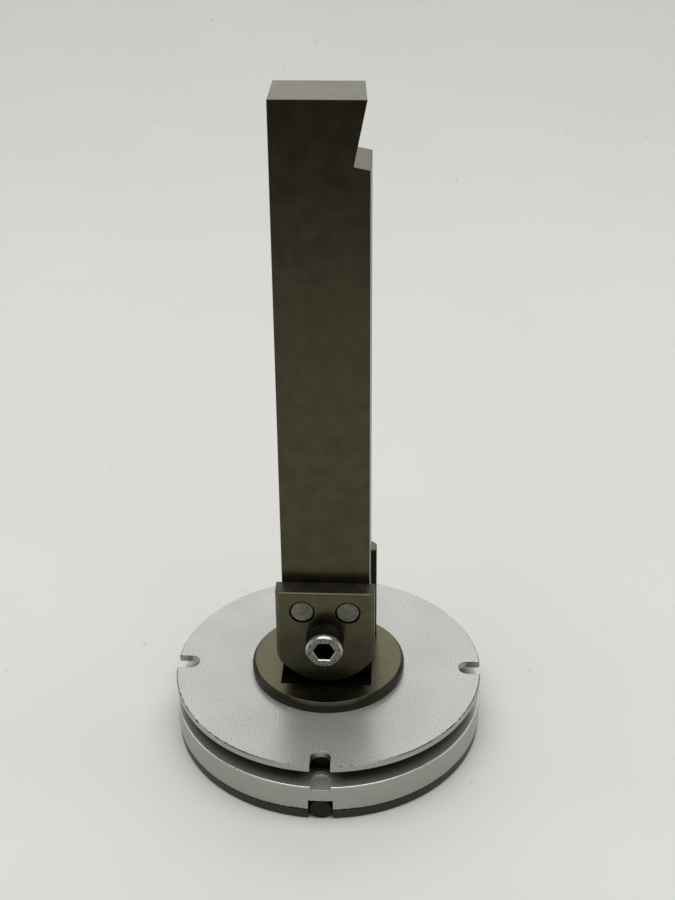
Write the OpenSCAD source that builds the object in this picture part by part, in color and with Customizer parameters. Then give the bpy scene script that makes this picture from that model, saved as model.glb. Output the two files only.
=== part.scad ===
// Upright setting stand: a flat-ground steel bar with a tilted seat at its top corner, clamped
// upright in a round holder on a grooved round base. The axis of the base is Z, the origin lies
// on that axis in the face the stand rests on, and the clamp screw points to -Y.

/* [Base disc] */
// Outer diameter of the aluminium base disc
disc_d = 84; // [76:1:110]
// Thickness of the thin flange above the groove
upper_t = 2; // [1.5:0.1:5]
// Height of the groove round the rim
groove_h = 4.9; // [3:0.1:8]
// Radial depth of the groove round the rim
groove_depth = 7.5; // [6.5:0.5:10]
// Thickness of the disc below the groove
lower_t = 7.7; // [7:0.1:12]
// Small chamfer on the edges of the disc
disc_edge = 0.25; // [0.1:0.05:0.5]

/* [Rim slots] */
// Width of a rim slot
slot_w = 5.3; // [4:0.1:7]
// Length of a rim slot from the rim to its round end
slot_len = 6.1; // [4:0.1:6.4]
// Depth the slot cutter went into the disc below the groove
slot_cut = 0.9; // [0.4:0.1:2]

/* [Key pins] */
// Diameter of the key pins between disc and foot plate
key_d = 6; // [5:0.5:6]
// Length of a key pin
key_len = 14; // [10:1:20]
// Width of the square notch that opens the rim in front of a key pin
notch_w = 6.4; // [6.2:0.1:8]
// Radial length of that notch
notch_len = 5; // [3:0.5:8]
// Distance from the rim to the end face of a key pin
key_inset = 0.4; // [0:0.1:1]

/* [Foot plate] */
// Distance the dark steel foot plate stands in from the rim of the disc
foot_inset = 0.2; // [0:0.1:2]
// Thickness of the foot plate
foot_t = 3.1; // [3.1:0.1:6]
// Diameter of the opening in the middle of the foot plate
foot_hole_d = 26; // [24:1:30]
// Pitch circle of the countersunk screws that hold the foot plate
foot_pcd = 54; // [46:1:60]

/* [Holder] */
// Diameter of the round flange of the holder
flange_d = 41.8; // [38:0.2:50]
// Thickness of that flange
flange_t = 2.9; // [2:0.1:6]
// Chamfer round the top of the flange
flange_chamfer = 0.85; // [0.3:0.05:1.5]
// Depth of the pocket in the flange that the bar stands in
pocket_depth = 1.5; // [0.5:0.1:2]
// Gap between the bar and the sides of that pocket
pocket_gap = 0.45; // [0.1:0.05:0.6]
// Radius of the turned back of the rear jaw
hub_r = 17.8; // [16:0.1:18.5]
// Height of both jaws above the flange
jaw_h = 29.4; // [28:0.1:40]
// Diameter of the spigot that turns in the base disc
spigot_d = 18; // [16:1:20]

/* [Clamp plate] */
// Distance the clamp plate and the rear jaw reach past each side of the bar
clamp_over = 1.45; // [1:0.05:1.8]
// Thickness of the clamp plate
clamp_t = 5.2; // [4:0.1:8]
// Gap between the round lower edge of the clamp plate and the flange
plate_gap = 0.8; // [0.3:0.1:1]
// Chamfer down the corners of the clamp plate and the jaw
clamp_chamfer = 1; // [0.5:0.1:1.5]
// Height of the clamp screw above the flange
screw_h = 15.1; // [14.8:0.1:18]

/* [Dowels] */
// Diameter of the two dowels
dowel_d = 6; // [4:0.5:6]
// Distance between the two dowels
dowel_pitch = 12; // [11:0.5:14]
// Height of the dowels above the clamp screw
dowel_rise = 8.3; // [8.2:0.1:10]
// Depth the dowels are pressed into the rear jaw
dowel_press = 6; // [4:0.5:6]

/* [Bar] */
// Width of the bar
bar_w = 23.1; // [19:0.1:25]
// Depth of the bar from front to back
bar_depth = 16; // [13:0.1:16]
// Length of the bar
bar_len = 159.1; // [100:0.1:260]
// Distance from the middle of the bar to its front face
bar_front = 7; // [6:0.5:8]
// Chamfer on the long edges of the bar
bar_edge = 0.2; // [0.1:0.05:0.5]

/* [Tilted seat] */
// Distance the seat's wall stands in from the corner at the top of the bar
seat_inset = 0.7; // [0.3:0.1:2]
// Height of the seat's wall
seat_wall_h = 15.6; // [8:0.2:24]
// Lean of the wall and of the ledge below it, in degrees
seat_lean = 11.5; // [4:0.5:20]
// Turn of the wall seen from above, in degrees
seat_skew = 3.4; // [0:0.2:6]

/* [Fasteners] */
// Thread diameter of the clamp screw
clamp_screw_d = 6; // [5:1:6]
// Head diameter of the clamp screw
clamp_head_d = 10; // [8.5:0.5:10]
// Length of the clamp screw under its head
clamp_screw_len = 30; // [26:1:30]
// Thread diameter of the centre screw
centre_screw_d = 8; // [6:1:8]
// Thread diameter of the foot plate screws
foot_screw_d = 4; // [3:1:4]
// Length of the foot plate screws
foot_screw_len = 8; // [7:1:9]

/* [Fits] */
// Radial running clearance of turning and sliding fits
running_fit = 0.03; // [0.01:0.01:0.1]
// Radial gap between a screw and its thread
thread_gap = 0.05; // [0.03:0.01:0.1]
// Radial gap of a screw in a clearance hole
screw_gap = 0.3; // [0.2:0.05:0.5]

/* [Hidden] */
$fn = 96;
cut = 0.5;                                   // how far a cutting tool runs past a face

// Heights, from the resting face upwards
disc_z = foot_t;                             // underside of the base disc
groove_z = disc_z + lower_t;                 // floor of the groove
upper_z = groove_z + groove_h;               // underside of the thin flange
top_z = upper_z + upper_t;                   // top of the base disc
flange_z = top_z + flange_t;                 // top of the holder's flange
foot_z = flange_z - pocket_depth;            // foot of the bar, floor of its pocket
jaw_z = flange_z + jaw_h;                    // top of jaw and clamp plate
screw_z = flange_z + screw_h;                // axis of the clamp screw
dowel_z = screw_z + dowel_rise;              // axes of the dowels
bar_z = foot_z + bar_len;                    // top of the bar

// Widths, and places from front to back
clamp_w = bar_w + 2 * clamp_over;            // width of the clamp plate and of the rear jaw
clamp_r = screw_h - plate_gap;               // radius of the plate's lower edge about the screw
pocket_w = bar_w + 2 * pocket_gap;           // width of the bar's pocket
foot_d = disc_d - 2 * foot_inset;            // diameter of the foot plate
jaw_y = bar_depth - bar_front;               // front face of the rear jaw
plate_y = -bar_front;                        // back face of the clamp plate
front_y = plate_y - clamp_t;                 // front face of the clamp plate

// Screws and their recesses
washer_t = 2;                                // thickness of the centre washer
washer_d = centre_screw_d * 2.75;            // outer diameter of the centre washer
centre_head_d = centre_screw_d * 1.625;      // head diameter of the centre screw
centre_head_h = centre_screw_d * 0.55;       // low head of the centre screw
head_drop = 1.2;                             // how far that head reaches into the foot plate's opening
clamp_head_h = clamp_screw_d;                // height of the clamp screw's head
recess_r = washer_d / 2 + 0.5;               // recess for washer and head in the disc
recess_top = disc_z + centre_head_h + washer_t - head_drop;
washer_z = recess_top - washer_t;            // lower face of the washer, where the head seats
spigot_gap = 0.3;                            // the spigot stops short of the washer
spigot_h = top_z - recess_top - spigot_gap;  // length of the spigot
centre_screw_len = floor(foot_z - washer_z - spigot_gap);    // whole millimetres, clear of the bar
notch_half = notch_w / 2;                    // notch height above the key pin's axis
key_z = disc_z;                              // the pins lie half in the disc, half in the plate
pin_edge = 0.3;                              // chamfer on the ends of pins and dowels
dowel_sink = 0.35;                           // countersink of the plate's dowel bores
foot_head_d = foot_screw_d * 2;              // head of a countersunk screw
foot_head_sink = 0.2;                        // how deep that head lies in the foot plate
foot_thread_gap = 1;                         // tapped holes run on past the ends of those screws
screw_edge = 0.4;                            // chamfer on the ends of the cap screws
clamp_key = clamp_screw_d * 5 / 6;           // key size of the clamp screw
centre_key = centre_screw_d * 0.75;          // key size of the centre screw
foot_key = foot_screw_d * 0.6;               // key size of the foot plate screws

// A cylinder that points to +Y from a given y
module rod_y(d, y0, y1) {
    translate([0, y1, 0]) rotate([90, 0, 0]) cylinder(d = d, h = y1 - y0);
}

// Four copies of a child round the axis, the first one turned so far from -Y
module quarter_turns(first = 0) {
    for (i = [0 : 3]) rotate([0, 0, first + i * 90]) children();
}

// Turned profile of a plain ring with both outer edges chamfered, as points of its half section
function ring_section(r0, r1, z0, z1, c) = [
    [r0, z0], [r1 - c, z0], [r1, z0 + c], [r1, z1 - c], [r1 - c, z1], [r0, z1]
];

// Six-sided key socket
module hex_socket(across, depth) {
    cylinder(d = across / cos(30), h = depth, $fn = 6);
}

// Socket head cap screw, head towards +Z, thread towards -Z, seated at z = 0
module cap_screw(d, len, head_d, head_h, key) {
    edge = screw_edge;
    difference() {
        union() {
            translate([0, 0, -len + edge]) cylinder(d = d, h = len - edge);
            translate([0, 0, -len]) cylinder(d1 = d - 2 * edge, d2 = d, h = edge);
            cylinder(d = head_d, h = head_h - edge);
            translate([0, 0, head_h - edge]) cylinder(d1 = head_d, d2 = head_d - 2 * edge, h = edge);
        }
        translate([0, 0, head_h * 0.45]) hex_socket(key, head_h);
    }
}

// Space between two heights and two places in y, across a given width
module block(w, y0, y1, z0, z1) {
    translate([-w / 2, y0, z0]) cube([w, y1 - y0, z1 - z0]);
}

// Body of the base disc as turned: two flanges with a square groove between them
module disc_blank() {
    r = disc_d / 2;
    inner = r - groove_depth;
    rotate_extrude() {
        polygon(ring_section(0, r, disc_z, groove_z, disc_edge));
        translate([0, groove_z - cut]) square([inner, groove_h + 2 * cut]);
        polygon(ring_section(0, r, upper_z, top_z, disc_edge));
    }
}

// Cutter of one rim slot, with its round end towards the axis
module rim_slot() {
    r = disc_d / 2;
    z0 = groove_z - slot_cut;
    end_y = -(r - slot_len + slot_w / 2);
    translate([0, end_y, z0]) cylinder(d = slot_w, h = top_z + cut - z0);
    translate([-slot_w / 2, -r - cut, z0]) cube([slot_w, r + cut + end_y, top_z + cut - z0]);
}

// Space of one key pin: a tight bore, opened at the rim by a square notch
module key_space() {
    r = disc_d / 2;
    translate([0, 0, key_z]) rod_y(key_d, -r - cut, -(r - key_inset - key_len));
    translate([-notch_half, -r - cut, key_z - notch_half])
        cube([notch_w, notch_len + cut, notch_w]);
}

module foot_screw_places() {
    quarter_turns(45) translate([0, -foot_pcd / 2, 0]) children();
}

// Countersunk head of one foot plate screw, wide end down
module foot_screw_head() {
    translate([0, 0, foot_head_sink])
        cylinder(d1 = foot_head_d, d2 = foot_screw_d, h = foot_screw_d / 2);
}

module base_disc() {
    color("silver")
    difference() {
        disc_blank();
        quarter_turns() rim_slot();
        quarter_turns() key_space();
        // Bore that the holder's spigot turns in
        translate([0, 0, recess_top - cut]) cylinder(r = spigot_d / 2 + running_fit, h = top_z);
        // Recess for the washer and the head of the centre screw
        translate([0, 0, disc_z - cut]) cylinder(r = recess_r, h = recess_top - disc_z + cut);
        // Threads for the foot plate screws
        foot_screw_places()
            cylinder(r = foot_screw_d / 2 + thread_gap, h = foot_screw_len + foot_thread_gap);
    }
}

module foot_plate() {
    color("dimgray")
    difference() {
        rotate_extrude()
            polygon(ring_section(foot_hole_d / 2, foot_d / 2, 0, foot_t, disc_edge));
        quarter_turns() key_space();
        foot_screw_places() {
            translate([0, 0, -cut]) cylinder(r = foot_screw_d / 2 + screw_gap, h = foot_t + 2 * cut);
            foot_screw_head();
            translate([0, 0, -cut]) cylinder(d = foot_head_d, h = cut + foot_head_sink);
        }
    }
}

module foot_plate_screws() {
    color("gray")
    foot_screw_places()
    difference() {
        union() {
            foot_screw_head();
            translate([0, 0, foot_head_sink])
                cylinder(d = foot_screw_d, h = foot_screw_len - foot_head_sink);
        }
        hex_socket(foot_key, foot_screw_d * 0.4);
    }
}

// One key pin, turned so far from -Y, with a chamfered outer end
module key_pin(turn) {
    c = pin_edge;
    y0 = -disc_d / 2 + key_inset;
    color("black")
    rotate([0, 0, turn]) translate([0, y0 + key_len, key_z]) rotate([90, 0, 0]) {
        cylinder(d = key_d, h = key_len - c);
        translate([0, 0, key_len - c]) cylinder(d1 = key_d, d2 = key_d - 2 * c, h = c);
    }
}

module key_pin_front() { key_pin(0); }

module key_pin_right() { key_pin(90); }

module key_pin_back() { key_pin(180); }

module key_pin_left() { key_pin(270); }

module holder() {
    fr = flange_d / 2;
    c = flange_chamfer;
    color("dimgray")
    difference() {
        union() {
            // Turned flange and spigot
            rotate_extrude() polygon([
                [0, top_z - spigot_h], [spigot_d / 2, top_z - spigot_h], [spigot_d / 2, top_z],
                [fr, top_z], [fr, flange_z - c], [fr - c, flange_z], [0, flange_z]
            ]);
            // Rear jaw, turned at the back and milled flat at its sides and front
            intersection() {
                translate([0, 0, flange_z - cut]) cylinder(r = hub_r, h = jaw_h + cut);
                block(clamp_w, jaw_y, hub_r + cut, flange_z - cut, jaw_z);
            }
        }
        // Pocket that the foot of the bar stands in, open under the clamp plate
        block(pocket_w, front_y, jaw_y, foot_z, flange_z + cut);
        // Thread of the clamp screw
        translate([0, 0, screw_z]) rod_y(clamp_screw_d + 2 * thread_gap, jaw_y - cut, hub_r + cut);
        // Bores that the dowels are pressed into
        for (side = [-1, 1]) translate([side * dowel_pitch / 2, 0, dowel_z])
            rod_y(dowel_d, jaw_y - cut, jaw_y + dowel_press);
        // Thread of the centre screw, tapped through to the bar's pocket
        translate([0, 0, top_z - spigot_h - cut])
            cylinder(r = centre_screw_d / 2 + thread_gap, h = spigot_h + flange_t + 2 * cut);
    }
}

module centre_washer() {
    color("gray")
    translate([0, 0, washer_z])
    difference() {
        cylinder(d = washer_d, h = washer_t);
        translate([0, 0, -cut]) cylinder(r = centre_screw_d / 2 + screw_gap, h = washer_t + 2 * cut);
    }
}

module centre_screw() {
    color("gray")
    translate([0, 0, washer_z]) rotate([180, 0, 0])
        cap_screw(centre_screw_d, centre_screw_len, centre_head_d, centre_head_h, centre_key);
}

// Bar without its tilted seat: square-ground, with fine chamfers on the long edges
module bar_blank() {
    w = bar_w / 2;
    c = bar_edge;
    translate([0, 0, foot_z]) linear_extrude(bar_len) polygon([
        [-w + c, -bar_front], [w - c, -bar_front], [w, -bar_front + c], [w, jaw_y - c],
        [w - c, jaw_y], [-w + c, jaw_y], [-w, jaw_y - c], [-w, -bar_front + c]
    ]);
}

module upright_bar() {
    color("dimgray")
    difference() {
        bar_blank();
        // Tilted seat in the top corner, deepest at its foot
        translate([bar_w / 2 - seat_inset, -bar_front, bar_z])
            rotate([0, seat_lean, seat_skew]) translate([0, -bar_depth, -seat_wall_h])
                cube([bar_w, 3 * bar_depth, 2 * seat_wall_h]);
        // Clearance hole of the clamp screw
        translate([0, 0, screw_z])
            rod_y(clamp_screw_d + 2 * screw_gap, plate_y - cut, jaw_y + cut);
        // Reamed bores of the dowels
        for (side = [-1, 1]) translate([side * dowel_pitch / 2, 0, dowel_z])
            rod_y(dowel_d, plate_y - cut, jaw_y + cut);
    }
}

// One dowel: chamfered at its front end, flush with the clamp plate
module dowel(side) {
    c = pin_edge;
    translate([side * dowel_pitch / 2, 0, dowel_z]) {
        rod_y(dowel_d, front_y + c, jaw_y + dowel_press);
        translate([0, front_y + c, 0]) rotate([90, 0, 0])
            cylinder(d1 = dowel_d, d2 = dowel_d - 2 * c, h = c);
    }
}

module dowel_left() { color("lightgray") dowel(-1); }

module dowel_right() { color("lightgray") dowel(1); }

// Front outline of the clamp plate: straight sides, round lower edge about the screw
module plate_outline() {
    w = clamp_w / 2;
    intersection() {
        translate([-w, -clamp_r]) square([clamp_w, clamp_r + jaw_h - screw_h]);
        union() {
            circle(r = clamp_r);
            translate([-w, 0]) square([clamp_w, jaw_h - screw_h]);
        }
    }
}

// The same plate seen from above: both front corners are chamfered
module plate_plan() {
    w = clamp_w / 2;
    c = clamp_chamfer;
    polygon([
        [-w + c, front_y], [w - c, front_y], [w, front_y + c],
        [w, plate_y], [-w, plate_y], [-w, front_y + c]
    ]);
}

module clamp_plate() {
    color("dimgray")
    difference() {
        intersection() {
            translate([0, plate_y, screw_z]) rotate([90, 0, 0])
                linear_extrude(clamp_t) plate_outline();
            translate([0, 0, flange_z]) linear_extrude(jaw_h) plate_plan();
        }
        // Clearance hole of the clamp screw
        translate([0, 0, screw_z])
            rod_y(clamp_screw_d + 2 * screw_gap, front_y - cut, plate_y + cut);
        // Guide bores of the dowels, countersunk at the front
        for (side = [-1, 1]) translate([side * dowel_pitch / 2, 0, dowel_z]) {
            rod_y(dowel_d + 2 * running_fit, front_y - cut, plate_y + cut);
            translate([0, front_y + dowel_sink, 0]) rotate([90, 0, 0])
                cylinder(d1 = dowel_d, d2 = dowel_d + 2 * dowel_sink, h = dowel_sink);
        }
    }
}

module clamp_screw() {
    color("gray")
    translate([0, front_y, screw_z]) rotate([90, 0, 0])
        cap_screw(clamp_screw_d, clamp_screw_len, clamp_head_d, clamp_head_h, clamp_key);
}

base_disc();
foot_plate();
foot_plate_screws();
key_pin_front();
key_pin_right();
key_pin_back();
key_pin_left();
holder();
centre_washer();
centre_screw();
upright_bar();
dowel_left();
dowel_right();
clamp_plate();
clamp_screw();
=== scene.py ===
import math

import bmesh
import bpy
from mathutils import Euler, Matrix, Vector


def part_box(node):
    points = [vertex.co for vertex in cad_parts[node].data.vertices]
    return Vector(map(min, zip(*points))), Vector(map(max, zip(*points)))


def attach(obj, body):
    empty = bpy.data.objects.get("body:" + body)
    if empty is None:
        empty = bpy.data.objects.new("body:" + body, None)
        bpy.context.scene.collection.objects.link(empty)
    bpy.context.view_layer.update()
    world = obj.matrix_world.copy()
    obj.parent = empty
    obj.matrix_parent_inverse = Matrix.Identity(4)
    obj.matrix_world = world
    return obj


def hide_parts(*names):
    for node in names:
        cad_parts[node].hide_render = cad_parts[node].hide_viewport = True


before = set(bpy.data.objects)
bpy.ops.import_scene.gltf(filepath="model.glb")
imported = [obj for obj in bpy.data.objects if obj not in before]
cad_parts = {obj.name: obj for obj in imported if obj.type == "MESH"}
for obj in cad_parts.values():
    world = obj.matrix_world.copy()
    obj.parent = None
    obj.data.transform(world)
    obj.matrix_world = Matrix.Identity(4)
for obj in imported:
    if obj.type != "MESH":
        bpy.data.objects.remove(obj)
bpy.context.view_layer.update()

# Upright setting stand: a ground steel bar with a tilted seat at its top corner, clamped in a
# round steel holder on a grooved aluminium disc. Sizes are metres, in the frame of the CAD model.


# ---- Camera ----
# A long lens looks down at the stand from the front, a little to the right of its middle.
MM = 0.001
CAMERA_PLACE = (20.29 * MM, -323.86 * MM, 268.46 * MM)
CAMERA_PITCH = -29.351                     # degrees, below the horizon
CAMERA_YAW = -3.041                        # degrees, towards +X
CAMERA_ROLL = -0.559                       # degrees, about the line of sight
CAMERA_LENS = 77.94                        # millimetres, on a sensor 36 wide

bpy.ops.object.select_all(action="DESELECT")
bpy.ops.object.camera_add(location=CAMERA_PLACE)
camera = bpy.context.object
camera.name = "camera"
camera.data.sensor_fit = "HORIZONTAL"
camera.data.sensor_width = 36
camera.data.lens = CAMERA_LENS
camera.data.clip_start = 0.01
camera.data.clip_end = 10
aim = Euler((math.radians(90 + CAMERA_PITCH), 0, math.radians(-CAMERA_YAW))).to_matrix()
camera.rotation_euler = (aim @ Matrix.Rotation(math.radians(CAMERA_ROLL), 3, "Z")).to_euler()
bpy.context.scene.camera = camera
bpy.context.scene.view_settings.view_transform = "Standard"


# ---- Table: paper sweep, lights and dark room ----
# One wide sheet of matt off-white paper lies on the table and sweeps up behind the stand. Its
# front edge ends before the camera, and the room in front of it is dark.
SHEET_FRONT = -0.36
SHEET_BEND = 0.42
SHEET_BEND_RADIUS = 0.55
SHEET_WIDTH = 4.6
SHEET_WALL = 0.5
SHEET_BEND_STEPS = 24
SHEET_DROP = 0.01 * MM                      # the stand's underside stays clear of the paper


def srgb(code):
    """Linear colour of an sRGB hex code."""
    parts = [int(code[i:i + 2], 16) / 255 for i in (0, 2, 4)]
    return [p / 12.92 if p <= 0.04045 else ((p + 0.055) / 1.055) ** 2.4 for p in parts] + [1]


def repeat(size_mm):
    """Scale of a pattern whose features are this many millimetres across."""
    return 1 / (size_mm * MM)


def add(tree, kind, settings=(), links=()):
    """Adds a shader node, fills its fields and sockets, and links others' outputs to it."""
    new = tree.nodes.new("ShaderNode" + kind)
    for key, value in dict(settings).items():
        if isinstance(key, str) and hasattr(new, key):
            setattr(new, key, value)
        else:
            new.inputs[key].default_value = value
    for key, output in dict(links).items():
        tree.links.new(output, new.inputs[key])
    return new


def new_material(name):
    """An empty material with its node tree."""
    material = bpy.data.materials.new(name)
    material.use_nodes = True
    material.node_tree.nodes.clear()
    return material, material.node_tree


def surface(tree, settings, links):
    """The shader of a material, joined to its output."""
    shader = add(tree, "BsdfPrincipled", settings, links)
    add(tree, "OutputMaterial", (), {"Surface": shader.outputs[0]})


def select_only(piece):
    """Makes a piece the only selected object, and the active one."""
    bpy.ops.object.select_all(action="DESELECT")
    piece.select_set(True)
    bpy.context.view_layer.objects.active = piece


def finish_transform(piece):
    """Moves a piece's place and turn into its mesh."""
    select_only(piece)
    bpy.ops.object.transform_apply(location=True, rotation=True, scale=True)


bpy.ops.mesh.primitive_plane_add(size=1, location=(0, 0, 0))
sheet = bpy.context.object
sheet.name = "paper_sweep"
sheet.scale = (SHEET_WIDTH, SHEET_BEND - SHEET_FRONT, 1)
sheet.location = (0, (SHEET_BEND + SHEET_FRONT) / 2, -SHEET_DROP)
finish_transform(sheet)
bpy.ops.object.mode_set(mode="EDIT")
bpy.ops.mesh.select_mode(type="EDGE")
bpy.ops.mesh.select_all(action="DESELECT")
paper = bmesh.from_edit_mesh(sheet.data)
for edge in paper.edges:
    edge.select_set(all(v.co.y > SHEET_BEND - MM for v in edge.verts))
bmesh.update_edit_mesh(sheet.data)
last_y, last_z = SHEET_BEND, 0
for step in range(1, SHEET_BEND_STEPS + 1):
    turn_angle = math.pi / 2 * step / SHEET_BEND_STEPS
    next_y = SHEET_BEND + SHEET_BEND_RADIUS * math.sin(turn_angle)
    next_z = SHEET_BEND_RADIUS * (1 - math.cos(turn_angle))
    bpy.ops.mesh.extrude_edges_move(
        TRANSFORM_OT_translate={"value": (0, next_y - last_y, next_z - last_z)})
    last_y, last_z = next_y, next_z
bpy.ops.mesh.extrude_edges_move(TRANSFORM_OT_translate={"value": (0, 0, SHEET_WALL)})
bpy.ops.mesh.select_all(action="SELECT")
bpy.ops.mesh.normals_make_consistent(inside=False)
bpy.ops.object.mode_set(mode="OBJECT")
bpy.ops.object.shade_smooth()

# Matt backdrop paper: no gloss to see, faint clouds and a few specks from use.
PAPER_CLEAN = srgb("E9EAE4")
PAPER_USED = srgb("E2E3DD")
PAPER_SPECK = srgb("B4B4AC")
paper_matt, tree = new_material("backdrop paper matt off-white")
place = add(tree, "TexCoord").outputs["Object"]
clouds = add(tree, "TexNoise", {"Scale": repeat(90), "Detail": 3}, {"Vector": place})
paper_tone = add(tree, "Mix", {"data_type": "RGBA", 6: PAPER_USED, 7: PAPER_CLEAN},
                 {0: clouds.outputs[0]})
dust = add(tree, "TexNoise", {"Scale": repeat(7), "Detail": 2, "Roughness": 0.7},
           {"Vector": place})
specks = add(tree, "MapRange", {"From Min": 0.73, "From Max": 0.78, "To Max": 0.6},
             {"Value": dust.outputs[0]})
paper_tone = add(tree, "Mix", {"data_type": "RGBA", 7: PAPER_SPECK},
                 {0: specks.outputs[0], 6: paper_tone.outputs[2]})
surface(tree, {"Roughness": 0.9, "Specular IOR Level": 0.2}, {"Base Color": paper_tone.outputs[2]})
sheet.data.materials.append(paper_matt)


def soft_light(name, place, target, width, depth, power):
    """A soft box: a rectangular white area light aimed at a point, its power in watts."""
    bpy.ops.object.select_all(action="DESELECT")
    bpy.ops.object.light_add(type="AREA", location=place)
    light = bpy.context.object
    light.name = name
    light.data.shape = "RECTANGLE"
    light.data.size = width
    light.data.size_y = depth
    light.data.energy = power
    light.rotation_euler = (Vector(target) - Vector(place)).to_track_quat("-Z", "Y").to_euler()


soft_light("overhead_soft_box", (0, -0.3, 1.2), (0, -0.3, 0), 1.6, 1.2, 13.1)
soft_light("rear_soft_box", (0, 0.9, 0.84), (0, 0, 0.84), 1.8, 0.9, 6.0)
soft_light("left_soft_box", (-1.0, 0.1, 0.35), (0, 0, 0.1), 0.8, 0.5, 1.2)
soft_light("right_soft_box", (1.0, 0.1, 0.35), (0, 0, 0.1), 0.8, 0.5, 1.2)

room = bpy.data.worlds.new("dark_room")
room.use_nodes = True
room.node_tree.nodes["Background"].inputs["Color"].default_value = srgb("504F4C")
room.node_tree.nodes["Background"].inputs["Strength"].default_value = 1
bpy.context.scene.world = room


# ---- Foot plate and its screws ----
# A dark steel ring under the disc, turned and blackened, with crisp edges. Four countersunk
# screws hold it from below, and the key pins lie half in it.
foot_low, foot_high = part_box("foot_plate")
disc_low, disc_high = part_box("base_disc")
FOOT_EDGE = 0.25 * MM
FOOT_RADIUS = disc_high.x - 0.2 * MM
FOOT_HOLE_RADIUS = 13 * MM
FOOT_SCREW_CIRCLE = 27 * MM
FOOT_SCREW_RADIUS = 2 * MM
FOOT_SCREW_HEAD_RADIUS = 4 * MM
FOOT_SCREW_SINK = 0.2 * MM
FOOT_SCREW_GAP = 0.3 * MM
FOOT_SCREW_EDGE = 0.1 * MM
FOOT_SCREW_TIP = 0.4 * MM
FOOT_KEY = 2.4 * MM
FOOT_KEY_DEPTH = 1.6 * MM
THREAD_GAP = 0.05 * MM                      # between a plain screw shank and its bore
PIN_RADIUS = 3 * MM
PIN_LENGTH = 14 * MM
PIN_INSET = 0.4 * MM
NOTCH_WIDTH = 6.4 * MM
NOTCH_LENGTH = 5 * MM
OVERRUN = 0.5 * MM                          # how far a cutting tool runs past a face


def turn(name, rings, steps=180):
    """Turns a piece round Z: a circle at the first (radius, height), drawn out to each next one."""
    bpy.ops.object.select_all(action="DESELECT")
    radius, height = rings[0]
    bpy.ops.mesh.primitive_circle_add(vertices=steps, radius=radius, location=(0, 0, height))
    piece = bpy.context.object
    piece.name = name
    finish_transform(piece)
    bpy.ops.object.mode_set(mode="EDIT")
    bpy.ops.mesh.select_all(action="SELECT")
    for next_radius, next_height in rings[1:]:
        bpy.ops.mesh.extrude_edges_move(
            TRANSFORM_OT_translate={"value": (0, 0, next_height - height)})
        growth = next_radius / radius
        bpy.ops.transform.resize(value=(growth, growth, 1), center_override=(0, 0, next_height))
        radius, height = next_radius, next_height
    bpy.ops.mesh.select_all(action="SELECT")
    bpy.ops.mesh.remove_doubles(threshold=0.001 * MM)
    bpy.ops.mesh.fill_holes(sides=0)
    bpy.ops.mesh.select_all(action="SELECT")
    bpy.ops.mesh.normals_make_consistent(inside=False)
    bpy.ops.object.mode_set(mode="OBJECT")
    return piece


def round_tool(radius, depth, place, turned=(0, 0, 0), steps=64):
    """A round cutter."""
    bpy.ops.object.select_all(action="DESELECT")
    bpy.ops.mesh.primitive_cylinder_add(vertices=steps, radius=radius, depth=depth,
                                        location=place, rotation=turned)
    tool = bpy.context.object
    finish_transform(tool)
    return tool


def square_tool(low, high):
    """A square cutter between two corners."""
    bpy.ops.object.select_all(action="DESELECT")
    bpy.ops.mesh.primitive_cube_add(size=1, location=[(a + b) / 2 for a, b in zip(low, high)])
    tool = bpy.context.object
    tool.scale = [b - a for a, b in zip(low, high)]
    finish_transform(tool)
    return tool


def machine(piece, tool, operation="DIFFERENCE"):
    """Cuts the tool's shape out of the piece, or joins it on, and puts the tool away."""
    select_only(piece)
    step = piece.modifiers.new("machine", "BOOLEAN")
    step.operation = operation
    step.solver = "EXACT"
    step.object = tool
    bpy.ops.object.modifier_apply(modifier=step.name)
    bpy.data.objects.remove(tool)


def quarter(tool, index):
    """Turns a cutter about the axis of the stand by so many quarter turns."""
    tool.matrix_world = Matrix.Rotation(index * math.pi / 2, 4, "Z")
    finish_transform(tool)
    return tool


def break_edges(piece, width, from_angle=50):
    """Rounds the sharp edges by a small width and keeps the faces between them flat to the eye."""
    select_only(piece)
    bpy.ops.object.mode_set(mode="EDIT")
    bpy.ops.mesh.select_all(action="SELECT")
    bpy.ops.mesh.remove_doubles(threshold=0.002 * MM)
    bpy.ops.mesh.normals_make_consistent(inside=False)
    bpy.ops.object.mode_set(mode="OBJECT")
    step = piece.modifiers.new("broken_edges", "BEVEL")
    step.limit_method = "ANGLE"
    step.angle_limit = math.radians(from_angle)
    step.width = width
    step.segments = 2
    step.use_clamp_overlap = False
    step.miter_outer = "MITER_SHARP"
    bpy.ops.object.modifier_apply(modifier=step.name)
    bpy.ops.object.shade_smooth_by_angle(angle=math.radians(40))
    for face in piece.data.polygons:
        if max(abs(part) for part in face.normal) > 0.99995:
            face.use_smooth = False
    even = piece.modifiers.new("even_faces", "WEIGHTED_NORMAL")
    even.keep_sharp = True
    bpy.ops.object.modifier_apply(modifier=even.name)


def pin_space(index):
    """Cutter of one key pin's bore, and of the square notch in front of it."""
    rim = disc_high.x
    bore = round_tool(PIN_RADIUS, PIN_LENGTH + PIN_INSET + OVERRUN,
                      (0, -rim + (PIN_LENGTH + PIN_INSET - OVERRUN) / 2, disc_low.z),
                      (math.pi / 2, 0, 0), steps=62)
    notch = square_tool(
        (-NOTCH_WIDTH / 2, -rim - OVERRUN, disc_low.z - NOTCH_WIDTH / 2),
        (NOTCH_WIDTH / 2, -rim + NOTCH_LENGTH, disc_low.z + NOTCH_WIDTH / 2))
    return quarter(notch, index), quarter(bore, index)


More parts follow.
